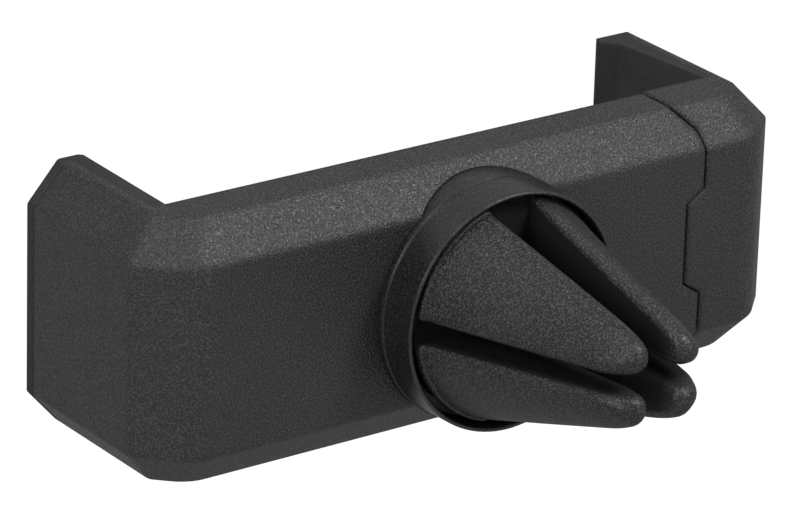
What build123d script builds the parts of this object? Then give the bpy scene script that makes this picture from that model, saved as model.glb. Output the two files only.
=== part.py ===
from build123d import *
from math import atan2, cos, pi, radians, sin, sqrt, tan
import os

# Phone holder for a car's air vent: a sprung two-jaw cradle on a ball-jointed vent clip.
# Millimetres. X runs along the jaw's slide, the phone lies towards +Y, the vent towards -Y.
# The origin is the centre of the swivel ball, in the plane of the cradle's back face.

# Cradle, outside
half_width = 33.25        # middle to the outer side of either arm, jaw closed
body_height = 24.0        # along Z
body_depth = 6.7          # back face to the face of the cover
arm_reach = 19.95         # back face to the tips of the arms
bevel_in = 3.0            # bevel round the outer edges, measured across
bevel_down = 3.4          # the same bevel, measured down
left_corner_cut = 4.2     # 45 degree corner in plan, fixed arm side
right_corner_cut = 3.6    # 45 degree corner in plan, sliding jaw side
back_corner_round = 4.0   # rounding where a corner meets the back
side_corner_round = 0.9   # rounding where a corner meets a side
edge_round = 0.5          # rounding along the bevel's long edges

# Walls and inner gaps
wall = 1.5
ledge_inset = 0.9         # how far the slide's ledges stand in from the wall
rim_wall = 0.95           # rim round the front cover
plate_thickness = 1.1     # sliding plate
cover_thickness = 1.2
cover_gap = 0.25          # between the sliding plate and the cover
slide_gap = 0.15          # running gap behind the plate and on its edges
fit_gap = 0.1             # gap round a part that is fixed in a pocket

# Parting line between housing and sliding jaw, seen from the back
seam_from_side = 9.6      # jaw's outer side to the straight part
seam_lean = 2.15          # how far it leans in at the top and bottom
seam_bend_up = 1.15       # edge of the bevel to where it starts to lean
seam_bend_round = 1.5
tongue_length = 1.8       # how far the jaw's tongue reaches into the housing
tongue_half_height = 3.75
tongue_slope = 1.2        # height of the slanted flank
seam_gap = 0.18
seam_lip = 0.2            # rounding of both lips

# Jaw travel
travel_reserve = 11.0     # plate that is left beside the stop slots
stop_gap = 0.2            # spare length of the stop slots

# Grip pads on the arms
arm_wall = 3.95           # hard part of the fixed arm, across
jaw_arm_wall = 3.9        # hard part of the jaw's arm, across
pad_cap = 1.0             # thickness of the pad over the tip of an arm
left_pad_root = 1.15
left_pad_tip = 1.4
right_pad_root = 0.6
right_pad_tip = 1.8
right_pad_lip = 1.25      # small hook that keeps the phone in
lip_start = 2.3           # from the tip back to where the hook begins
pad_tip_round = 0.35
pad_groove = 0.14         # fine groove between arm and pad

# Phone rest on the cover
rest_proud = 0.35         # how far the rest stands above the cover
rest_sunk = 0.5
rest_from_side = 10.65    # fixed arm's outer side to the rest
rest_from_seam = 9.45
rest_margin = 2.55        # edge of the cover to the rest, top and bottom
rest_corner = 2.0
rest_groove_pitch = 4.0
rest_groove_width = 0.7
rest_groove_count = 4

# Socket collar on the back
collar_foot_r = 11.02
collar_foot_height = 0.65
collar_base_r = 10.92
collar_rim_r = 10.8
collar_height = 4.3
collar_bore_r = 10.42
collar_rim_round = 0.15
collar_floor = 1.2
socket_boss_r = 5.0

# Ball joint
ball_r = 2.4
ball_gap = 0.05
neck_r = 1.35
stud_flange_r = 1.9
stud_flange = 0.3
mouth_flare = 0.35        # the socket's mouth widens towards the clip
friction_pad_r = 2.45
friction_pad_back = 0.45  # rubber behind the ball
friction_pad_lead = 0.1   # step that lets the pad into the socket
friction_pad_front = 1.1  # ball centre to the front of the cup
keeper_half_length = 9.3
keeper_spring_gap = 1.15  # between the keeper and a spring's coils
keeper_gap = 0.45         # between the keeper and the sliding plate
socket_screw_x = 7.0

# Vent clip, about its own axis
clip_yaw = 1.0            # lean of the clip in its socket, to the right
clip_pitch = 2.2          # lean of the clip in its socket, upwards
hub_back = 2.4            # ball centre to the back of the hub
hub_front = 3.5           # ball centre to the floor of the slots
hub_rim = 4.15            # ball centre to the front of the hub's rim
hub_r = 9.95
hub_rim_round = 0.3
hub_back_bevel = 0.6
prong_root_r = 9.93       # outer radius at the floor of the slots
prong_tip_r = 4.3         # outer radius at the tips, before they are rounded
clip_length = 24.8        # ball centre to the tips of the prongs
prong_tip_round = 4.6
flank_round_root = 0.3    # rounding along the flanks of a prong, at its root
flank_round_tip = 0.9
wide_slot = 4.65          # upright slot at its floor, for thick slats
wide_slot_tip = 1.8
wide_mouth = 2.4          # rounding that opens the slot again at the tips
narrow_slot = 2.1         # level slot at its floor, for thin slats
narrow_slot_tip = 1.45
narrow_mouth = 3.2

# Springs
wire_share = 0.174        # the wire's radius as a share of a coil's outer radius
coil_gap = 0.175          # between a coil and the plate, and between a coil and the wall
coil_ledge_gap = 1.15     # between a coil and a ledge
coil_pitch = 1.1
coil_steps = 12           # points along one turn
hook_steps = 8            # points along the half loop of a hook
hook_lead = 0.65          # from a peg's side to the first coil
hook_open = 0.15          # how far a hook's end reaches back past the first coil
peg_fit = 0.03            # between a peg and its hook
peg_coil_gap = 0.13       # a peg's radius is this much less than a coil's inside
fixed_peg_from_post = 1.7
moving_peg_from_end = 15.0
peg_end_gap = 0.3         # between the moving pegs and the back wall

# Screws
screw_head_r = 1.6
screw_head = 0.7
screw_head_round = 0.25
screw_slot_reach = 0.6    # half the cross slot's length, as a share of the head's radius
screw_shank_r = 0.75
screw_hole_gap = 0.05
screw_slot_width = 0.4
screw_slot_depth = 0.3
left_post_from_side = 8.05
right_post_from_seam = 6.15
jaw_post_from_side = 6.95
jaw_post_from_edge = 4.2  # edge of the carriage to the jaw's posts
post_r = 1.6
post_coil_gap = 0.55      # between a post and a spring's coils
head_seat = 0.8           # depth of the pocket for a screw's head
hole_floor = 0.3          # left at the bottom of a blind hole
screw_end_gap = 0.2       # between a screw's end and the hole's bottom
root_sunk = 0.2           # how far posts and pegs run into what carries them
stud_hole = 3.3           # depth of the hole in the ball stud

# Carriage and the hollow that it runs in
carriage_wall_gap = 0.1   # between the carriage and the walls above and below it
carriage_from_post = 3.7  # left posts to the carriage's left edge
block_gap = 0.2           # between the face block and the jaw's arm
cavity_from_left = 5.85   # fixed arm's outer side to the hollow
cavity_from_right = 4.35  # jaw's outer side to the hollow

past = 1.0                # how far a cutter runs past a face
far = 60.0
miter = sqrt(2) - 1

# Levels towards the phone
cover_back = body_depth - cover_thickness
plate_front = cover_back - cover_gap
plate_back = plate_front - plate_thickness
slide_floor = plate_back - slide_gap
keeper_thickness = plate_back - wall - keeper_gap
rest_front = body_depth + rest_proud
pad_seat_y = arm_reach - pad_cap
spring_y = (wall + plate_back) / 2
coil_r = (plate_back - wall) / 2 - coil_gap
wire_r = wire_share * coil_r
spring_r = coil_r - wire_r
peg_r = spring_r - wire_r - peg_coil_gap

# Heights from the middle
half_height = body_height / 2
bevel_z = half_height - bevel_down
seam_bend_z = bevel_z + seam_bend_up
ledge_half_height = half_height - wall - ledge_inset
carriage_half_height = half_height - wall - carriage_wall_gap
slide_half_height = carriage_half_height + slide_gap
rebate_half_height = half_height - rim_wall
rest_half_height = rebate_half_height - rest_margin
spring_z = ledge_half_height - coil_ledge_gap - coil_r
keeper_half_height = spring_z - coil_r - keeper_spring_gap
post_z = spring_z - coil_r - post_coil_gap - post_r
jaw_post_z = carriage_half_height - jaw_post_from_edge

# Places along the slide
fixed_arm_x = -half_width + arm_wall
jaw_arm_x = half_width - jaw_arm_wall
cavity_left_x = -half_width + cavity_from_left
cavity_right_x = half_width - cavity_from_right
face_block_right_x = cavity_right_x - block_gap
seam_x = half_width - seam_from_side
seam_top_x = seam_x - seam_lean
rest_left_x = -half_width + rest_from_side
rest_right_x = seam_x - rest_from_seam
left_post_x = -half_width + left_post_from_side
right_post_x = seam_x - right_post_from_seam
jaw_post_x = half_width - jaw_post_from_side
carriage_left_x = left_post_x + carriage_from_post
fixed_peg_x = left_post_x + fixed_peg_from_post
moving_peg_x = carriage_left_x + moving_peg_from_end
travel = right_post_x - carriage_left_x - travel_reserve


def span(x0, x1, y0, y1, z0, z1):
    """A block between two corners."""
    centre = Pos((x0 + x1) / 2, (y0 + y1) / 2, (z0 + z1) / 2)
    return centre * Box(x1 - x0, y1 - y0, z1 - z0)


def along_y(radius, y0, y1, x=0.0, z=0.0):
    """A round bar along Y between two depths."""
    return Pos(x, (y0 + y1) / 2, z) * Rot(90, 0, 0) * Cylinder(radius, y1 - y0)


def both_halves(solid):
    """A part and its mirror image below the middle plane."""
    return solid + mirror(solid, about=Plane.XY)


def outer_plan(inset, z):
    """Outline of the cradle seen from above, drawn in by an inset, open towards the phone."""
    left = -half_width + inset
    right = half_width - inset
    points = [
        (left, far),
        (left, left_corner_cut + miter * inset),
        (-half_width + left_corner_cut + miter * inset, inset),
        (half_width - right_corner_cut - miter * inset, inset),
        (right, right_corner_cut + miter * inset),
        (right, far),
    ]
    face = make_face(Polyline(*points, close=True))
    corners = face.vertices().sort_by(Axis.Y)
    face = fillet(corners[:2], back_corner_round)
    sides = [v for v in face.vertices().sort_by(Axis.Y) if v.Y < far - 1]
    outer = sorted(sides, key=lambda v: abs(v.X))[-2:]
    face = fillet(outer, side_corner_round)
    return Pos(0, 0, z) * face


def outer_form():
    """The bevelled outside of the whole cradle, shared by housing, jaw, pads and collar."""
    middle = extrude(outer_plan(0, -bevel_z), amount=2 * bevel_z)
    top = loft([outer_plan(0, bevel_z), outer_plan(bevel_in, half_height)], ruled=True)
    form = both_halves(top) + middle
    levels = (bevel_z, half_height)
    long_edges = [
        e for e in form.edges()
        if any(abs(abs(e.center().Z) - level) < 0.01 for level in levels)
        and e.center().Y < far - 1
        and abs(e.bounding_box().size.Z) < 0.01
    ]
    return fillet(long_edges, edge_round)


def seam_line(shift):
    """Parting line as a closed outline of everything on its left, in X and Z."""
    steps = [
        (seam_top_x - tongue_length, half_height + 2),
        (seam_top_x, half_height),
        (seam_x, seam_bend_z),
        (seam_x, tongue_half_height + tongue_slope),
        (seam_x - tongue_length, tongue_half_height),
    ]
    lower = [(x, -z) for x, z in reversed(steps)]
    right = [(x + shift, z) for x, z in steps + lower]
    outline = make_face(Polyline((-far, half_height + 2), *right, (-far, -half_height - 2), close=True))
    bends = [v for v in outline.vertices() if abs(abs(v.Y) - seam_bend_z) < 0.01]
    return fillet(bends, seam_bend_round)


def left_of_seam(shift=0.0):
    """Everything on the housing's side of the parting line."""
    return extrude(Plane.XZ * seam_line(shift), amount=far, both=True)


def inner_space(x0, x1):
    """Hollow of the cradle: ledges for the slide, a slot for the plate and a rebate for the cover."""
    slope = bevel_down / bevel_in
    inner_corner = bevel_z + slope * wall - wall * sqrt(1 + slope * slope)
    bend_y = wall + (ledge_half_height - inner_corner) / slope
    section = [
        (wall, inner_corner),
        (bend_y, ledge_half_height),
        (slide_floor, ledge_half_height),
        (slide_floor, slide_half_height),
        (cover_back, slide_half_height),
    ]
    lower = [(y, -z) for y, z in reversed(section)]
    face = Plane.YZ.offset(x0) * make_face(Polyline(*section, *lower, close=True))
    return extrude(face, amount=x1 - x0)


def screw(length):
    """Small pan-head screw along Y, head towards +Y, its seat at the origin."""
    head = along_y(screw_head_r, 0, screw_head)
    rim = head.edges().sort_by(Axis.Y)[-1]
    head = fillet(rim, screw_head_round)
    body = head + along_y(screw_shank_r, -length, 0)
    arm = screw_slot_reach * screw_head_r
    top = screw_head - screw_slot_depth
    half = screw_slot_width / 2
    body -= span(-arm, arm, top, screw_head, -half, half)
    body -= span(-half, half, top, screw_head, -arm, arm)
    return body


def post(x, z, y1):
    """Screw post that rises from the back wall, with its blind hole."""
    hole_r = screw_shank_r + screw_hole_gap
    bar = along_y(post_r, wall - root_sunk, y1, x, z)
    return bar - along_y(hole_r, wall + hole_floor, y1 + past, x, z)


def skin_edges(solid, form, where):
    """Edges that lie on the cradle's outside and satisfy a test on their middle point."""
    skin = form.shell()
    found = []
    for edge in solid.edges():
        middle = edge @ 0.5
        if where(middle) and skin.distance_to(Vertex(middle)) < 0.005:
            found.append(edge)
    return found


def seam_edges(solid, form, shift):
    """Outer edges of a part along the parting line."""
    line = left_of_seam(shift).shell()

    def on_seam(point):
        return point.Y < far - 1 and line.distance_to(Vertex(point)) < 0.005

    return skin_edges(solid, form, on_seam)


def grooved_at_cap(solid, form):
    """Half of the fine groove between an arm and the pad over its tip."""
    edges = skin_edges(solid, form, lambda point: abs(point.Y - pad_seat_y) < 0.01)
    return chamfer(edges, pad_groove)


def make_rear_housing(form):
    """Back shell with the fixed arm, the ledges of the slide and the screw posts."""
    body = form & left_of_seam()
    body = fillet(seam_edges(body, form, 0.0), seam_lip)
    body -= span(fixed_arm_x, far, body_depth, far + 1, -half_height, half_height)
    body -= span(-far, far, pad_seat_y, far + 1, -half_height, half_height)
    body -= inner_space(cavity_left_x, far)
    body -= span(cavity_left_x, far, cover_back, body_depth, -rebate_half_height, rebate_half_height)
    body -= along_y(socket_boss_r + fit_gap, -past, wall + past)
    for x in (-socket_screw_x, socket_screw_x):
        body -= along_y(screw_shank_r + fit_gap, -past, wall + past, x)
    for x, z in cover_screw_places():
        body += post(x, z, cover_back)
    for z in (-spring_z, spring_z):
        body += along_y(peg_r, wall - root_sunk, slide_floor, fixed_peg_x, z)
    return grooved_at_cap(body, form)


def make_front_cover():
    """Cover plate that closes the housing under the phone."""
    half = rebate_half_height - fit_gap
    right = seam_top_x - fit_gap
    plate = span(cavity_left_x + fit_gap, right, cover_back, body_depth, -half, half)
    plate -= rest_outline(rest_sunk, 0.0)
    for x, z in cover_screw_places():
        plate -= along_y(screw_shank_r + fit_gap, 0, far, x, z)
        plate -= along_y(screw_head_r + fit_gap, body_depth - head_seat, far, x, z)
    return plate


def cover_screw_places():
    """Centres of the cover's screws."""
    return [(x, z) for x in (left_post_x, right_post_x) for z in (-post_z, post_z)]


def make_cover_screws():
    """Screws that hold the cover on the housing's posts."""
    length = body_depth - head_seat - wall - hole_floor - screw_end_gap
    pieces = [Pos(x, body_depth - head_seat, z) * screw(length) for x, z in cover_screw_places()]
    return Compound(pieces)


def rest_outline(sunk, gap):
    """Block of the phone rest, from its pocket's floor upwards."""
    width = rest_right_x - rest_left_x - 2 * gap
    height = 2 * (rest_half_height - gap)
    face = RectangleRounded(width, height, rest_corner)
    middle = (rest_left_x + rest_right_x) / 2
    plane = Plane(origin=(middle, rest_front, 0), x_dir=(1, 0, 0), z_dir=(0, -1, 0))
    return extrude(plane * face, amount=rest_proud + sunk)


def make_phone_rest():
    """Soft pad that the phone's back lies on, with long grooves."""
    pad = rest_outline(rest_sunk, fit_gap)
    half = rest_groove_width / 2
    first = -(rest_groove_count - 1) / 2
    for i in range(rest_groove_count):
        z = (first + i) * rest_groove_pitch
        left = rest_left_x + rest_corner
        right = rest_right_x - rest_corner
        pad -= span(left, right, rest_front - rest_proud, far, z - half, z + half)
    return pad


def pad_prism(points):
    """Upright prism over a plan outline."""
    face = make_face(Polyline(*points, close=True))
    return extrude(Pos(0, 0, -half_height) * face, amount=body_height)


def make_fixed_arm_pad(form):
    """Soft liner of the fixed arm, wrapped over its tip."""
    root = fixed_arm_x + left_pad_root
    tip = fixed_arm_x + left_pad_tip
    outline = [
        (fixed_arm_x, body_depth),
        (root, body_depth),
        (tip, arm_reach - pad_tip_round),
        (tip - pad_tip_round, arm_reach),
        (-half_width, arm_reach),
        (-half_width, pad_seat_y),
        (fixed_arm_x, pad_seat_y),
    ]
    return grooved_at_cap(pad_prism(outline) & form, form)


def make_jaw_pad(form):
    """Soft liner of the jaw's arm: it thickens towards the tip and ends in a small hook."""
    root = jaw_arm_x - right_pad_root
    tip = jaw_arm_x - right_pad_tip
    hook = tip - right_pad_lip
    outline = [
        (jaw_arm_x, rest_front),
        (root, rest_front),
        (tip, arm_reach - lip_start),
        (hook, arm_reach - 2 * pad_tip_round),
        (hook + pad_tip_round, arm_reach),
        (half_width, arm_reach),
        (half_width, pad_seat_y),
        (jaw_arm_x, pad_seat_y),
    ]
    return grooved_at_cap(pad_prism(outline) & form, form)


def make_socket_collar(form):
    """Round collar with the ball's socket; its foot follows the back face and the bevels."""
    axis = Axis((0, 0, 0), (0, 1, 0))
    wall_outline = [
        (collar_bore_r, -collar_floor),
        (collar_bore_r, -collar_height),
        (collar_rim_r, -collar_height),
        (collar_base_r, -collar_foot_height),
        (collar_foot_r, -collar_foot_height),
        (collar_foot_r, bevel_in),
        (collar_bore_r, bevel_in),
    ]
    ring = revolve(make_face(Polyline(*wall_outline, close=True)), axis)
    rim = [e for e in ring.edges() if abs(e.center().Y + collar_height) < 0.01]
    ring = fillet(rim, collar_rim_round)
    ring -= form
    seat_r = ball_r + ball_gap
    mouth_r = sqrt(seat_r ** 2 - collar_floor ** 2)
    floor = along_y(collar_bore_r + root_sunk, -collar_floor, 0)
    boss = along_y(socket_boss_r, -collar_floor, wall - ball_gap)
    socket = Sphere(seat_r) + along_y(seat_r, 0, wall)
    flare = Cone(mouth_r, mouth_r + mouth_flare, mouth_flare)
    flare = Pos(0, -collar_floor + mouth_flare / 2, 0) * Rot(90, 0, 0) * flare
    collar = ring + floor + boss - socket - flare
    for x in (-socket_screw_x, socket_screw_x):
        collar -= along_y(screw_shank_r + fit_gap, -far, past, x)
        collar -= along_y(screw_head_r + fit_gap, -far, -collar_floor + screw_head, x)
    return collar


def make_socket_keeper():
    """Oval plate inside the housing that clamps the socket and backs the friction pad."""
    plane = Plane(origin=(0, wall, 0), x_dir=(1, 0, 0), z_dir=(0, 1, 0))
    oval = SlotOverall(2 * keeper_half_length, 2 * keeper_half_height)
    plate = extrude(plane * oval, amount=keeper_thickness)
    pocket_floor = ball_r + ball_gap + friction_pad_back
    plate -= along_y(friction_pad_r + fit_gap, 0, pocket_floor)
    for x in (-socket_screw_x, socket_screw_x):
        hole_end = wall + keeper_thickness - hole_floor
        plate -= along_y(screw_shank_r + screw_hole_gap, 0, hole_end, x)
    return plate


def make_friction_pad():
    """Rubber cup behind the ball, which holds the clip's angle."""
    back = ball_r + ball_gap + friction_pad_back
    pad = along_y(friction_pad_r, wall, back)
    pad += along_y(friction_pad_r - friction_pad_lead, friction_pad_front, wall + friction_pad_lead)
    return pad - Sphere(ball_r + ball_gap)


def make_socket_screws():
    """Screws from the cup's floor into the keeper."""
    seat = -collar_floor + screw_head
    length = wall + keeper_thickness - hole_floor - screw_end_gap - seat
    turned = Rot(180, 0, 0) * screw(length)
    return Compound([Pos(x, seat, 0) * turned for x in (-socket_screw_x, socket_screw_x)])


def clip_plane():
    """Plane across the clip's own axis, through the ball's centre."""
    yaw = radians(clip_yaw)
    pitch = radians(clip_pitch)
    outward = (sin(yaw) * cos(pitch), -cos(yaw) * cos(pitch), sin(pitch))
    return Plane(origin=(0, 0, 0), x_dir=(cos(yaw), sin(yaw), 0), z_dir=outward)


def prong_section(z, radius, wide, narrow, rounding):
    """Section across one prong: two flat flanks and an arc about the clip's axis."""
    x = wide / 2
    y = narrow / 2
    upper = (x, sqrt(radius ** 2 - x ** 2))
    lower = (sqrt(radius ** 2 - y ** 2), y)
    middle = (radius * cos(pi / 4), radius * sin(pi / 4))
    arc = ThreePointArc(lower, middle, upper)
    face = make_face([Line((x, y), lower), arc, Line(upper, (x, y))])
    outer = [v for v in face.vertices() if v.X + v.Y > x + y + 0.01]
    return Pos(0, 0, z) * fillet(outer, rounding)


def slot_mouth(width, rounding, plane):
    """Cutter that opens a slot again between the tips, with two roundings."""
    half = width / 2
    right = [
        (half, hub_front),
        (half, clip_length),
        (hub_r, clip_length),
        (hub_r, clip_length + past),
    ]
    left = [(-x, y) for x, y in reversed(right)]
    face = make_face(Polyline(*right, *left, close=True))
    corners = [v for v in face.vertices() if abs(v.X) < half + 0.01 and v.Y > hub_front + past]
    return extrude(plane * fillet(corners, rounding), amount=far, both=True)


def tip_cutter():
    """Ring that rounds the tips of all four prongs towards the clip's axis."""
    taper = atan2(prong_root_r - prong_tip_r, clip_length - hub_front)
    start = clip_length - prong_tip_round * tan(pi / 4 - taper / 2) * cos(taper)
    outline = [(0, hub_front), (prong_root_r, hub_front), (prong_tip_r, clip_length), (0, clip_length)]
    face = make_face(Polyline(*outline, close=True))
    corner = face.vertices().sort_by_distance((prong_tip_r, clip_length, 0))[0]
    face = fillet(corner, prong_tip_round)
    block = Pos(hub_r / 2, (start + clip_length + past) / 2) * Rectangle(hub_r, clip_length + past - start)
    return revolve(Plane.XZ * (block - face), Axis.Z)


def make_prong():
    """One of the four prongs, a tapered quarter cone with a rounded tip."""
    root = prong_section(hub_front, prong_root_r, wide_slot, narrow_slot, flank_round_root)
    tip = prong_section(clip_length, prong_tip_r, wide_slot_tip, narrow_slot_tip, flank_round_tip)
    body = loft([root, tip], ruled=True) - tip_cutter()
    body -= slot_mouth(wide_slot_tip, wide_mouth, Plane.XZ)
    return body - slot_mouth(narrow_slot_tip, narrow_mouth, Plane.YZ)


def make_vent_clip():
    """One moulding: a round hub and four prongs with cross slots between them."""
    hub = Pos(0, 0, (hub_back + hub_rim) / 2) * Cylinder(hub_r, hub_rim - hub_back)
    rim = hub.edges().sort_by(Axis.Z)[-1]
    hub = fillet(rim, hub_rim_round)
    back = hub.edges().sort_by(Axis.Z)[0]
    hub = chamfer(back, hub_back_bevel)
    depth = hub_rim + past - hub_front
    hub -= Pos(0, 0, hub_front + depth / 2) * Box(wide_slot, far, depth)
    hub -= Pos(0, 0, hub_front + depth / 2) * Box(far, narrow_slot, depth)
    prong = make_prong()
    pair = prong + mirror(prong, about=Plane.YZ)
    body = hub + pair + mirror(pair, about=Plane.XZ)
    body -= Pos(0, 0, hub_back) * Cylinder(screw_shank_r + fit_gap, far)
    return clip_plane().location * body


def make_ball_stud():
    """Ball on a short neck, screwed to the back of the clip's hub."""
    neck = Pos(0, 0, hub_back / 2) * Cylinder(neck_r, hub_back)
    flange = Pos(0, 0, hub_back - stud_flange / 2) * Cylinder(stud_flange_r, stud_flange)
    stud = Sphere(ball_r) + neck + flange
    stud -= Pos(0, 0, hub_back) * Cylinder(screw_shank_r + screw_hole_gap, 2 * stud_hole)
    return clip_plane().location * stud


def make_clip_screw():
    """Screw between the prongs that holds the hub on the ball stud."""
    turned = Rot(90, 0, 0) * screw(hub_front - hub_back + stud_hole - screw_end_gap)
    return clip_plane().location * Pos(0, 0, hub_front) * turned


def spring_hook(peg_x, facing, coil_x):
    """Points along a hook, from its open end round the far side of a peg to the coil."""
    centre = peg_x + facing * (peg_r + peg_fit + wire_r - spring_r)
    points = [(coil_x + facing * hook_open, 0, spring_r), ((coil_x + centre) / 2, 0, spring_r)]
    for step in range(hook_steps + 1):
        turn = pi * (0.5 - step / hook_steps)
        points.append((centre + facing * spring_r * cos(turn), 0, spring_r * sin(turn)))
    return points


def make_spring(side):
    """Extension spring along X, one wire from hook to hook, between a fixed and a moving peg."""
    start = fixed_peg_x + peg_r + hook_lead
    end = moving_peg_x - peg_r - hook_lead
    turns = round((end - start) / coil_pitch)
    pitch = (end - start) / turns
    points = spring_hook(fixed_peg_x, -1, start)
    for step in range(1, turns * coil_steps):
        turn = 2 * pi * step / coil_steps
        x = start + pitch * step / coil_steps
        points.append((x, spring_r * sin(turn), -spring_r * cos(turn)))
    points += reversed(spring_hook(moving_peg_x, 1, end))
    wire = Spline(*points)
    profile = Plane(origin=wire @ 0, z_dir=wire % 0) * Circle(wire_r)
    return Pos(0, spring_y, side * spring_z) * sweep(profile, path=wire)


def make_jaw_shell(form):
    """Shell of the sliding jaw with its arm and the tongue at the parting line."""
    body = form - left_of_seam(seam_gap)
    body = fillet(seam_edges(body, form, seam_gap), seam_lip)
    body -= span(-far, jaw_arm_x, rest_front, far + 1, -half_height, half_height)
    body -= span(-far, far, pad_seat_y, far + 1, -half_height, half_height)
    body -= inner_space(0, cavity_right_x)
    body -= span(0, cavity_right_x, cover_back, rest_front, -rebate_half_height, rebate_half_height)
    for z in (-jaw_post_z, jaw_post_z):
        body += post(jaw_post_x, z, plate_back)
    return grooved_at_cap(body, form)


def make_slide_carriage():
    """Sliding plate with stop slots, spring pegs and the block that faces the phone."""
    plate = span(
        carriage_left_x, face_block_right_x, plate_back, plate_front,
        -carriage_half_height, carriage_half_height,
    )
    half = rebate_half_height - fit_gap
    block = span(seam_top_x + fit_gap, face_block_right_x, cover_back, rest_front, -half, half)
    bridge = span(
        seam_top_x + fit_gap, face_block_right_x, plate_front, cover_back,
        -carriage_half_height, carriage_half_height,
    )
    body = plate + block + bridge
    slot_r = post_r + slide_gap
    slot_left = right_post_x - travel - stop_gap
    for z in (-post_z, post_z):
        body -= span(slot_left, right_post_x, 0, cover_back, z - slot_r, z + slot_r)
        body -= along_y(slot_r, 0, cover_back, slot_left, z)
        body -= along_y(slot_r, 0, cover_back, right_post_x, z)
    for z in (-spring_z, spring_z):
        body += along_y(peg_r, wall + peg_end_gap, plate_back + root_sunk, moving_peg_x, z)
    for z in (-jaw_post_z, jaw_post_z):
        body -= along_y(screw_shank_r + fit_gap, 0, far, jaw_post_x, z)
        body -= along_y(screw_head_r + fit_gap, rest_front - head_seat, far, jaw_post_x, z)
    return body


def make_carriage_screws():
    """Screws that hold the carriage in the jaw."""
    seat = rest_front - head_seat
    length = seat - wall - hole_floor - screw_end_gap
    return Compound([Pos(jaw_post_x, seat, z) * screw(length) for z in (-jaw_post_z, jaw_post_z)])


def main():
    """Build every piece and write one file for each."""
    form = outer_form()
    pieces = {
        "rear_housing": make_rear_housing(form),
        "front_cover": make_front_cover(),
        "cover_screws": make_cover_screws(),
        "phone_rest": make_phone_rest(),
        "fixed_arm_pad": make_fixed_arm_pad(form),
        "socket_collar": make_socket_collar(form),
        "socket_keeper": make_socket_keeper(),
        "socket_screws": make_socket_screws(),
        "friction_pad": make_friction_pad(),
        "upper_spring": make_spring(1),
        "lower_spring": make_spring(-1),
        "jaw_shell": make_jaw_shell(form),
        "slide_carriage": make_slide_carriage(),
        "carriage_screws": make_carriage_screws(),
        "jaw_pad": make_jaw_pad(form),
        "vent_clip": make_vent_clip(),
        "ball_stud": make_ball_stud(),
        "clip_screw": make_clip_screw(),
    }
    os.makedirs("parts", exist_ok=True)
    for name, solid in pieces.items():
        export_step(solid, f"parts/{name}.step")


main()
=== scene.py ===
import bpy
import math
import numpy as np
from mathutils import Matrix, Vector


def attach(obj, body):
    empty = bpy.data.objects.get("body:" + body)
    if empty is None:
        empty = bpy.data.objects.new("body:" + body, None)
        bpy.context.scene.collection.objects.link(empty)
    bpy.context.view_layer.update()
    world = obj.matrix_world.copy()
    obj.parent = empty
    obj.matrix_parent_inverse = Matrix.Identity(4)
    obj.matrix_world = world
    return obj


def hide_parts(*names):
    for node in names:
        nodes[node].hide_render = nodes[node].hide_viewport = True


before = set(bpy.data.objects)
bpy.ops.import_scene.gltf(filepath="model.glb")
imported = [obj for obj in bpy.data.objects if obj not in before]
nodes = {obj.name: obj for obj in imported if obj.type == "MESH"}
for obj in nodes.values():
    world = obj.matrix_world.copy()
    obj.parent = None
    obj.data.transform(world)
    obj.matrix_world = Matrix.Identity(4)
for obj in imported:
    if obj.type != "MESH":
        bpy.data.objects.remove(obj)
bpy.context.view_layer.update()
print("frame:", len(nodes), "nodes")


# one shader node, its plain settings and its socket values
def addNode(tree, kind, props=None, values=None):
    node = tree.nodes.new(kind)
    for name, value in (props or {}).items():
        setattr(node, name, value)
    for name, value in (values or {}).items():
        node.inputs[name].default_value = value
    return node


def newGroup(name, inputs, outputs):
    group = bpy.data.node_groups.new(name, "ShaderNodeTree")
    for label, kind, value in inputs:
        socket = group.interface.new_socket(label, in_out="INPUT", socket_type=kind)
        socket.default_value = value
    for label, kind in outputs:
        group.interface.new_socket(label, in_out="OUTPUT", socket_type=kind)
    start = group.nodes.new("NodeGroupInput")
    end = group.nodes.new("NodeGroupOutput")
    return group, start, end


# spark-eroded mould grain: height mixes a noise with cells of the same size, glint and speckle
# keep only the noise's tops, from 0 to 1
def makeMouldGrain():
    group, start, end = newGroup(
        "mouldGrain",
        [("Pits per metre", "NodeSocketFloat", 6500.0), ("Tops", "NodeSocketFloat", 0.5)],
        [("Height", "NodeSocketFloat"), ("Glint", "NodeSocketFloat"),
         ("Speckle", "NodeSocketFloat")],
    )
    link = group.links.new
    where = addNode(group, "ShaderNodeTexCoord")
    pits = addNode(group, "ShaderNodeTexNoise", values={"Detail": 2.0, "Roughness": 0.6})
    tops = addNode(group, "ShaderNodeTexVoronoi", {"feature": "SMOOTH_F1"}, {"Smoothness": 0.35})
    link(where.outputs["Object"], pits.inputs["Vector"])
    link(where.outputs["Object"], tops.inputs["Vector"])
    link(start.outputs["Pits per metre"], pits.inputs["Scale"])
    link(start.outputs["Pits per metre"], tops.inputs["Scale"])
    mix = addNode(group, "ShaderNodeMix", {"data_type": "FLOAT"})
    link(start.outputs["Tops"], mix.inputs["Factor"])
    link(pits.outputs["Fac"], mix.inputs["A"])
    link(tops.outputs["Distance"], mix.inputs["B"])
    glint = addNode(group, "ShaderNodeMapRange", {"interpolation_type": "SMOOTHSTEP"},
                    {"From Min": 0.5, "From Max": 0.68})
    link(pits.outputs["Fac"], glint.inputs["Value"])
    speckle = addNode(group, "ShaderNodeMapRange", values={"From Min": 0.47, "From Max": 0.70})
    link(pits.outputs["Fac"], speckle.inputs["Value"])
    link(mix.outputs["Result"], end.inputs["Height"])
    link(glint.outputs["Result"], end.inputs["Glint"])
    link(speckle.outputs["Result"], end.inputs["Speckle"])
    return group


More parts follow.
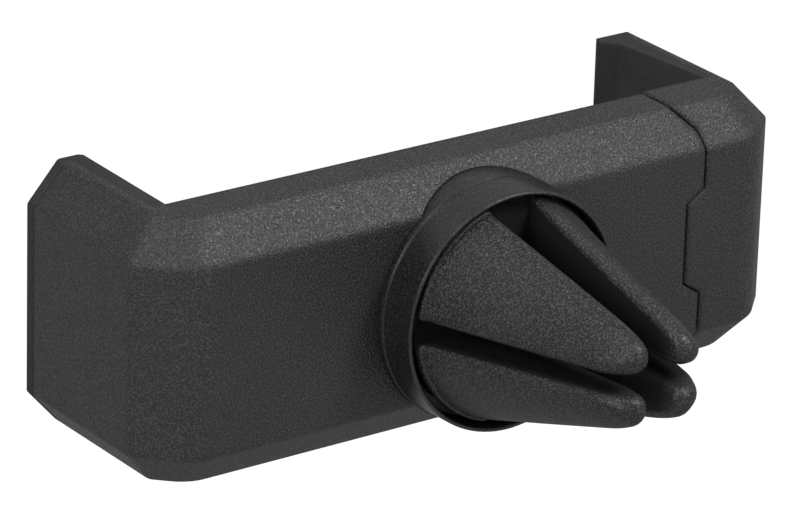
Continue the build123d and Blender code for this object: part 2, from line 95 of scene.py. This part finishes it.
# slow unevenness of a moulded face: coarse noise, slightly warped, from 0 to 1
def makeFlowMarks():
    group, start, end = newGroup(
        "flowMarks",
        [("Marks per metre", "NodeSocketFloat", 90.0)],
        [("Mask", "NodeSocketFloat")],
    )
    link = group.links.new
    where = addNode(group, "ShaderNodeTexCoord")
    noise = addNode(group, "ShaderNodeTexNoise",
                    values={"Detail": 3.0, "Roughness": 0.5, "Distortion": 0.6})
    spread = addNode(group, "ShaderNodeMapRange", values={"From Min": 0.3, "From Max": 0.7})
    link(where.outputs["Object"], noise.inputs["Vector"])
    link(start.outputs["Marks per metre"], noise.inputs["Scale"])
    link(noise.outputs["Fac"], spread.inputs["Value"])
    link(spread.outputs["Result"], end.inputs["Mask"])
    return group


mouldGrain = makeMouldGrain()
flowMarks = makeFlowMarks()

# moulded finishes: colours between the specks and of the specks, roughness of specks and rest,
# weight of the glossy skin, share of the specks, grain per metre, depth and edge radius in metres
mouldedFinishes = {
    "shellPlastic": {
        "dark": (0.0130, 0.0130, 0.0135, 1), "light": (0.0760, 0.0760, 0.0787, 1),
        "smooth": 0.20, "rough": 0.42, "skin": 0.21, "speckle": 0.95,
        "grainScale": 5600.0, "tops": 0.40, "depth": 0.000100, "strength": 1.00, "edge": 0.00110,
    },
    "collarPlastic": {
        "dark": (0.0090, 0.0090, 0.0093, 1), "light": (0.0500, 0.0500, 0.0518, 1),
        "smooth": 0.18, "rough": 0.27, "skin": 0.23, "speckle": 0.80,
        "grainScale": 6200.0, "tops": 0.20, "depth": 0.000030, "strength": 0.80, "edge": 0.00035,
    },
    "clipPlastic": {
        "dark": (0.0135, 0.0135, 0.0140, 1), "light": (0.1020, 0.1020, 0.1056, 1),
        "smooth": 0.20, "rough": 0.34, "skin": 0.14, "speckle": 0.90,
        "grainScale": 5600.0, "tops": 0.40, "depth": 0.000060, "strength": 1.00, "edge": 0.00020,
    },
    "gripRubber": {
        "dark": (0.0220, 0.0220, 0.0226, 1), "light": (0.0560, 0.0560, 0.0575, 1),
        "smooth": 0.50, "rough": 0.62, "skin": 0.12, "speckle": 0.50,
        "grainScale": 7000.0, "tops": 0.25, "depth": 0.000015, "strength": 0.40, "edge": 0.00030,
    },
}

# painted shade for the slot walls and the hub: a plain darker colour without specks, and little
# gloss
paintedSlotShade = {"colour": (0.018, 0.018, 0.0185, 1), "skin": 0.06}


# colour mixes slow marks with the grain's specks, the tops glint, and the grain's bump stands on
# softened edges; the slot shade attribute fades colour to the painted slot shade and skin to its
# low gloss
def makeMoulded(name, finish):
    material = bpy.data.materials.new(name)
    material.use_nodes = True
    tree = material.node_tree
    link = tree.links.new
    shader = tree.nodes["Principled BSDF"]
    shader.inputs["Specular IOR Level"].default_value = 0.0   # the gloss is all in the skin
    shader.inputs["Coat IOR"].default_value = 2.0
    marks = addNode(tree, "ShaderNodeGroup", {"node_tree": flowMarks})
    grain = addNode(tree, "ShaderNodeGroup", {"node_tree": mouldGrain},
                    {"Pits per metre": finish["grainScale"], "Tops": finish["tops"]})
    share = addNode(tree, "ShaderNodeMix", {"data_type": "FLOAT"}, {"Factor": finish["speckle"]})
    ramp = addNode(tree, "ShaderNodeValToRGB")
    ramp.color_ramp.elements[0].color = finish["dark"]
    ramp.color_ramp.elements[1].color = finish["light"]
    gloss = addNode(tree, "ShaderNodeMapRange",
                    values={"To Min": finish["rough"], "To Max": finish["smooth"]})
    soften = addNode(tree, "ShaderNodeBevel", {"samples": 6}, {"Radius": finish["edge"]})
    bump = addNode(tree, "ShaderNodeBump",
                   values={"Strength": finish["strength"], "Distance": finish["depth"]})
    shadeAmount = addNode(tree, "ShaderNodeAttribute", {"attribute_name": "paintedShade"})
    colour = addNode(tree, "ShaderNodeMix", {"data_type": "RGBA"}, {"B": paintedSlotShade["colour"]})
    skin = addNode(tree, "ShaderNodeMapRange",
                   values={"To Min": finish["skin"], "To Max": paintedSlotShade["skin"]})
    link(marks.outputs["Mask"], share.inputs["A"])
    link(grain.outputs["Speckle"], share.inputs["B"])
    link(share.outputs["Result"], ramp.inputs["Fac"])
    link(grain.outputs["Glint"], gloss.inputs["Value"])
    link(shadeAmount.outputs["Fac"], colour.inputs["Factor"])
    link(ramp.outputs["Color"], colour.inputs["A"])
    link(colour.outputs["Result"], shader.inputs["Base Color"])
    link(shadeAmount.outputs["Fac"], skin.inputs["Value"])
    link(skin.outputs["Result"], shader.inputs["Coat Weight"])
    link(gloss.outputs["Result"], shader.inputs["Roughness"])
    link(gloss.outputs["Result"], shader.inputs["Coat Roughness"])
    link(soften.outputs["Normal"], bump.inputs["Normal"])
    link(grain.outputs["Height"], bump.inputs["Height"])
    link(bump.outputs["Normal"], shader.inputs["Normal"])
    link(bump.outputs["Normal"], shader.inputs["Coat Normal"])
    return material


zincSteel = {
    "dark": (0.44, 0.44, 0.45, 1), "light": (0.62, 0.62, 0.63, 1),
    "drawn": 2600.0, "stretch": 0.12, "smooth": 0.24, "rough": 0.38,
    "depth": 0.000004, "strength": 0.3,
}


# drawn wire and turned heads: noise stretched along X, feeding colour, gloss and a faint bump
def makeSteel(name, finish):
    material = bpy.data.materials.new(name)
    material.use_nodes = True
    tree = material.node_tree
    link = tree.links.new
    shader = tree.nodes["Principled BSDF"]
    shader.inputs["Metallic"].default_value = 1.0
    where = addNode(tree, "ShaderNodeTexCoord")
    along = addNode(tree, "ShaderNodeMapping")
    along.inputs["Scale"].default_value = (finish["stretch"], 1.0, 1.0)
    noise = addNode(tree, "ShaderNodeTexNoise",
                    values={"Scale": finish["drawn"], "Detail": 3.0, "Roughness": 0.6})
    ramp = addNode(tree, "ShaderNodeValToRGB")
    ramp.color_ramp.elements[0].position = 0.35
    ramp.color_ramp.elements[0].color = finish["dark"]
    ramp.color_ramp.elements[1].position = 0.65
    ramp.color_ramp.elements[1].color = finish["light"]
    gloss = addNode(tree, "ShaderNodeMapRange",
                    values={"To Min": finish["smooth"], "To Max": finish["rough"]})
    bump = addNode(tree, "ShaderNodeBump",
                   values={"Strength": finish["strength"], "Distance": finish["depth"]})
    link(where.outputs["Object"], along.inputs["Vector"])
    link(along.outputs["Vector"], noise.inputs["Vector"])
    link(noise.outputs["Fac"], ramp.inputs["Fac"])
    link(noise.outputs["Fac"], gloss.inputs["Value"])
    link(noise.outputs["Fac"], bump.inputs["Height"])
    link(ramp.outputs["Color"], shader.inputs["Base Color"])
    link(gloss.outputs["Result"], shader.inputs["Roughness"])
    link(bump.outputs["Normal"], shader.inputs["Normal"])
    return material


materials = {name: makeMoulded(name, finish) for name, finish in mouldedFinishes.items()}
materials["zincSteel"] = makeSteel("zincSteel", zincSteel)
print("materials:", ", ".join(sorted(materials)))

nodeFinish = {
    "rear_housing": "shellPlastic", "jaw_shell": "shellPlastic", "front_cover": "shellPlastic",
    "slide_carriage": "shellPlastic",
    "socket_collar": "collarPlastic", "socket_keeper": "collarPlastic",
    "vent_clip": "clipPlastic", "ball_stud": "collarPlastic",
    "phone_rest": "gripRubber", "fixed_arm_pad": "gripRubber", "jaw_pad": "gripRubber",
    "friction_pad": "gripRubber",
    "upper_spring": "zincSteel", "lower_spring": "zincSteel", "cover_screws": "zincSteel",
    "socket_screws": "zincSteel", "carriage_screws": "zincSteel", "clip_screw": "zincSteel",
}
for name, finish in nodeFinish.items():
    mesh = nodes[name].data
    mesh.materials.clear()
    mesh.materials.append(materials[finish])
print("finishes on", len(nodeFinish), "nodes")

# the vent clip again with the photograph's rounded prongs, in millimetres along and across its axis
ventClip = {
    "yaw": 1.0, "pitch": 2.2, "hubBack": 2.4, "floor": 3.5, "rim": 4.15, "hubRadius": 9.95,
    "bevel": 0.6, "screwHole": 0.85, "length": 24.28, "rootRadius": 9.90, "tipRadius": 4.3,
    # the fade length below is how far before the tip the painted slot shade fades out, in
    # millimetres
    "straightFrom": 5.0, "straightRows": 12, "tipRun": 5.0, "tipRows": 28, "shadeFade": 2.5,
    "cornerPoints": (8, 8, 6), "arcPoints": 14, "hubSteps": 96,
    "wide": (4.65, 1.8), "narrow": (2.1, 1.45), "edge": (0.55, 1.0),
    "dome": (3.8, 0.35), "wideMouth": (2.4, 0.15), "narrowMouth": (3.2, 0.45),
    "bends": {(-1, 1): (-0.1, 0.0), (1, 1): (0.8, -0.35),
              (1, -1): (0.7, -0.3), (-1, -1): (-0.2, 0.0)},
}


# quads between the rows of a grid whose columns close on themselves
def gridFaces(rows, columns, first=0):
    here = np.arange(columns)
    after = (here + 1) % columns
    row = first + columns * np.arange(rows - 1)[:, None]
    above = row + columns
    return np.stack([row + here, row + after, above + after, above + here], -1).reshape(-1, 4)


# one prong: at distance a along the axis its outline has flanks u and v off the slots' middles and
# an arc of radius r; it is drawn in by e and grown again by a disc of radius e sqrt(1 - n n), with
# n going from 0 to 1 over the last e
def prongGrid(clip):
    floor, rim, length, run = clip["floor"], clip["rim"], clip["length"], clip["tipRun"]
    root = np.array([floor - 0.3, rim - 0.25, rim - 0.07, rim, rim + 0.02])
    straight = np.linspace(clip["straightFrom"], length - run, clip["straightRows"])[:-1]
    end = length - run + run * np.sin(np.linspace(0, math.pi / 2, clip["tipRows"]))
    a = np.concatenate([root, straight, end])
    share = (np.maximum(a, floor) - floor) / (length - floor)

    def between(pair):
        return pair[0] + share * (pair[1] - pair[0])

    def late(pair):
        return pair[1] * np.clip((a - length) / pair[0] + 1, 0, 1) ** 2

    e = between(clip["edge"])
    u = between(clip["wide"]) / 2 + late(clip["wideMouth"]) + e
    v = between(clip["narrow"]) / 2 + late(clip["narrowMouth"]) + e
    r = between((clip["rootRadius"], clip["tipRadius"])) - late(clip["dome"])
    r[:4] = clip["hubRadius"] - np.array([0, 0, 0.05, 0.14])
    core = np.maximum(r - e, np.hypot(u, v) + 0.02)
    n = np.clip((a - length) / e[-1] + 1, 0, 1)
    disc = e * np.sqrt(1 - n * n)
    low, high = np.arcsin(v / core), np.arccos(u / core)
    quarter = np.full_like(a, math.pi / 2)
    corners = [
        (-quarter, low, core * np.cos(low), v), (high, 2 * quarter, u, core * np.sin(high)),
        (2 * quarter, 3 * quarter, u, v),
    ]
    parts = []
    for (start, stop, x, y), count in zip(corners, clip["cornerPoints"]):
        turn = start[:, None] + (stop - start)[:, None] * np.linspace(0, 1, count)
        bulge = disc[:, None, None] * np.stack([np.cos(turn), np.sin(turn)], -1)
        parts.append(np.stack([x, y], -1)[:, None] + bulge)
    turn = low[:, None] + (high - low)[:, None] * np.linspace(0, 1, clip["arcPoints"])[1:-1]
    arc = (core + disc)[:, None, None] * np.stack([np.cos(turn), np.sin(turn)], -1)
    outline = np.concatenate([parts[0], arc, parts[1], parts[2]], 1)
    height = np.broadcast_to(a[:, None, None], outline.shape[:2] + (1,))
    return np.concatenate([outline, height], -1)


# hub: an outline turned about the axis, from its bore out and back again
def hubGrid(clip):
    r, b = clip["hubRadius"], clip["bevel"]
    back, front, hole = clip["hubBack"], clip["floor"], clip["screwHole"]
    outline = np.array([(hole, front), (hole, back), (r - b, back), (r, back + b), (r, front)])
    turn = np.linspace(0, 2 * math.pi, clip["hubSteps"], endpoint=False)
    ring = np.stack([np.cos(turn), np.sin(turn)], -1)
    flat = outline[:, None, :1] * ring[None]
    height = np.broadcast_to(outline[:, None, 1:], flat.shape[:2] + (1,))
    return np.concatenate([flat, height], -1)


# clip axes in the shared frame: outward leans by yaw and pitch, across stays level
def clipAxes(clip):
    yaw, pitch = math.radians(clip["yaw"]), math.radians(clip["pitch"])
    level = math.cos(pitch)
    outward = np.array([math.sin(yaw) * level, -math.cos(yaw) * level, math.sin(pitch)])
    across = np.array([math.cos(yaw), math.sin(yaw), 0.0])
    return np.stack([across, np.cross(outward, across), outward])


# painted slot shade: 1 on the flanks that line the slots, falling evenly to 0 over the clip's fade
# length before the tip
def slotShadeMask(clip, prong):
    mask = np.zeros(prong.shape[:2])
    lastCorner = clip["cornerPoints"][2]
    mask[:, :2] = mask[:, -lastCorner - 1:] = 1.0
    return mask * np.clip((clip["length"] - prong[..., 2]) / clip["shadeFade"], 0, 1)


# four mirrored prongs and the hub; a prong is bent by its own offset times the square of its
# share of the length
def makeClip(clip):
    prong = prongGrid(clip)
    rows, columns = prong.shape[:2]
    points, faces, count = [], [], 0
    late = np.clip((prong[..., 2] - clip["floor"]) / (clip["length"] - clip["floor"]), 0, 1) ** 2
    for (across, up), bend in clip["bends"].items():
        quads = gridFaces(rows, columns, count)
        tip = count + (rows - 1) * columns + np.arange(columns)
        mirrored = across * up < 0
        faces += (quads[:, ::-1] if mirrored else quads).tolist()
        faces.append((tip[::-1] if mirrored else tip).tolist())
        bent = prong * (across, up, 1) + late[..., None] * (*bend, 0)
        points.append(bent.reshape(-1, 3))
        count += rows * columns
    hub = hubGrid(clip)
    rows, columns = hub.shape[:2]
    faces += gridFaces(rows, columns, count).tolist()
    here = count + np.arange(columns)
    after = count + (np.arange(columns) + 1) % columns
    last = (rows - 1) * columns
    faces += np.stack([last + here, last + after, after, here], -1).tolist()
    points.append(hub.reshape(-1, 3))
    mesh = bpy.data.meshes.new("ventClipMoulding")
    mesh.from_pydata((np.concatenate(points) @ clipAxes(clip) * 0.001).tolist(), [], faces)
    mesh.shade_smooth()
    mesh.set_sharp_from_angle(angle=math.radians(40))
    # painted shade: the slot flanks and the whole hub take the darker slot colour
    prongShade = np.tile(slotShadeMask(clip, prong).ravel(), len(clip["bends"]))
    shadeOnPoints = np.concatenate([prongShade, np.ones(rows * columns)])
    mesh.attributes.new("paintedShade", "FLOAT", "POINT").data.foreach_set("value", shadeOnPoints)
    piece = bpy.data.objects.new("ventClipMoulding", mesh)
    bpy.context.scene.collection.objects.link(piece)
    return piece


clipPiece = makeClip(ventClip)
clipPiece.data.materials.append(materials["clipPlastic"])
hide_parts("vent_clip")
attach(clipPiece, "clip")
print("vent clip:", len(clipPiece.data.vertices), "points")

# plain pale floor well below the part, which hangs on its clip
floor = {"height": -0.25, "halfSide": 6.0, "colour": (0.35, 0.35, 0.35, 1), "whitening": 0.90}


# lit like any matt sheet, and nearly white to the camera and in reflections; clear from below
def makeFloor():
    half, height = floor["halfSide"], floor["height"]
    corners = [(-half, -half, height), (half, -half, height),
               (half, half, height), (-half, half, height)]
    mesh = bpy.data.meshes.new("studioFloor")
    mesh.from_pydata(corners, [], [(0, 1, 2, 3)])
    sheet = bpy.data.objects.new("studioFloor", mesh)
    bpy.context.scene.collection.objects.link(sheet)
    material = bpy.data.materials.new("studioFloor")
    material.use_nodes = True
    tree = material.node_tree
    link = tree.links.new
    tree.nodes.clear()
    matt = addNode(tree, "ShaderNodeBsdfDiffuse", values={"Color": floor["colour"]})
    glow = addNode(tree, "ShaderNodeEmission", values={"Color": (1, 1, 1, 1)})
    path = addNode(tree, "ShaderNodeLightPath")
    seen = addNode(tree, "ShaderNodeMath", {"operation": "MAXIMUM"})
    lift = addNode(tree, "ShaderNodeMath", {"operation": "MULTIPLY"})
    lift.inputs[1].default_value = floor["whitening"]
    both = addNode(tree, "ShaderNodeAddShader")
    facing = addNode(tree, "ShaderNodeNewGeometry")
    clear = addNode(tree, "ShaderNodeBsdfTransparent")
    pick = addNode(tree, "ShaderNodeMixShader")
    out = addNode(tree, "ShaderNodeOutputMaterial")
    link(path.outputs["Is Camera Ray"], seen.inputs[0])
    link(path.outputs["Is Glossy Ray"], seen.inputs[1])
    link(seen.outputs[0], lift.inputs[0])
    link(lift.outputs[0], glow.inputs["Strength"])
    link(matt.outputs[0], both.inputs[0])
    link(glow.outputs[0], both.inputs[1])
    link(facing.outputs["Backfacing"], pick.inputs["Fac"])
    link(both.outputs[0], pick.inputs[1])
    link(clear.outputs[0], pick.inputs[2])
    link(pick.outputs[0], out.inputs["Surface"])
    mesh.materials.append(material)


makeFloor()

# white to the camera and in reflections, a quieter grey as light
world = {"light": 0.20, "colour": (1.0, 1.0, 1.0, 1)}


def makeWorld():
    studio = bpy.data.worlds.new("studio")
    bpy.context.scene.world = studio
    studio.use_nodes = True
    tree = studio.node_tree
    link = tree.links.new
    back = tree.nodes["Background"]
    back.inputs["Color"].default_value = world["colour"]
    path = addNode(tree, "ShaderNodeLightPath")
    glossy = addNode(tree, "ShaderNodeMath", {"operation": "MAXIMUM"})
    through = addNode(tree, "ShaderNodeMath", {"operation": "MAXIMUM"})
    level = addNode(tree, "ShaderNodeMapRange", values={"To Min": world["light"], "To Max": 1.0})
    link(path.outputs["Is Camera Ray"], glossy.inputs[0])
    link(path.outputs["Is Glossy Ray"], glossy.inputs[1])
    link(glossy.outputs[0], through.inputs[0])
    link(path.outputs["Is Transmission Ray"], through.inputs[1])
    link(through.outputs[0], level.inputs["Value"])
    link(level.outputs["Result"], back.inputs["Strength"])


makeWorld()

# soft boxes, metres and watts, each aimed at the part's middle
lamps = {
    "keyBox": {"at": (0.27, -0.32, 0.46), "size": (0.20, 0.20), "power": 2.6},
    "fillBox": {"at": (-0.56, -0.20, 0.30), "size": (0.32, 0.32), "power": 1.8},
    "rimBox": {"at": (-0.22, -0.03, 0.55), "size": (0.12, 0.12), "power": 0.7},
}


def makeLamp(name, lamp):
    data = bpy.data.lights.new(name, "AREA")
    data.shape = "RECTANGLE"
    data.size, data.size_y = lamp["size"]
    data.energy = lamp["power"]
    box = bpy.data.objects.new(name, data)
    bpy.context.scene.collection.objects.link(box)
    spot = Vector(lamp["at"])
    box.matrix_world = Matrix.LocRotScale(spot, (-spot).to_track_quat("-Z", "Y"), None)


for name, lamp in lamps.items():
    makeLamp(name, lamp)
print("studio: floor, world,", len(lamps), "lamps")

# the photograph's viewing angle, in degrees and metres
camera = {"azimuth": -36.10, "elevation": 22.36, "roll": 1.753, "distance": 0.47443,
          "right": 0.0074438, "up": -0.0028805, "lens": 253.417}


def makeCamera():
    azimuth = math.radians(camera["azimuth"])
    elevation = math.radians(camera["elevation"])
    roll = math.radians(camera["roll"])
    back = Vector((math.sin(azimuth) * math.cos(elevation),
                   -math.cos(azimuth) * math.cos(elevation), math.sin(elevation)))
    level = Vector((math.cos(azimuth), math.sin(azimuth), 0))
    top = back.cross(level)
    right = math.cos(roll) * level + math.sin(roll) * top
    up = math.cos(roll) * top - math.sin(roll) * level
    place = back * camera["distance"] - camera["right"] * right - camera["up"] * up
    data = bpy.data.cameras.new("viewCamera")
    data.lens = camera["lens"]
    data.sensor_width = 36.0
    data.clip_start, data.clip_end = 0.01, 20.0
    viewer = bpy.data.objects.new("viewCamera", data)
    bpy.context.scene.collection.objects.link(viewer)
    turn = Matrix((right, up, back)).transposed().to_4x4()
    viewer.matrix_world = Matrix.Translation(place) @ turn
    bpy.context.scene.camera = viewer


makeCamera()
bpy.context.scene.view_settings.view_transform = "Standard"
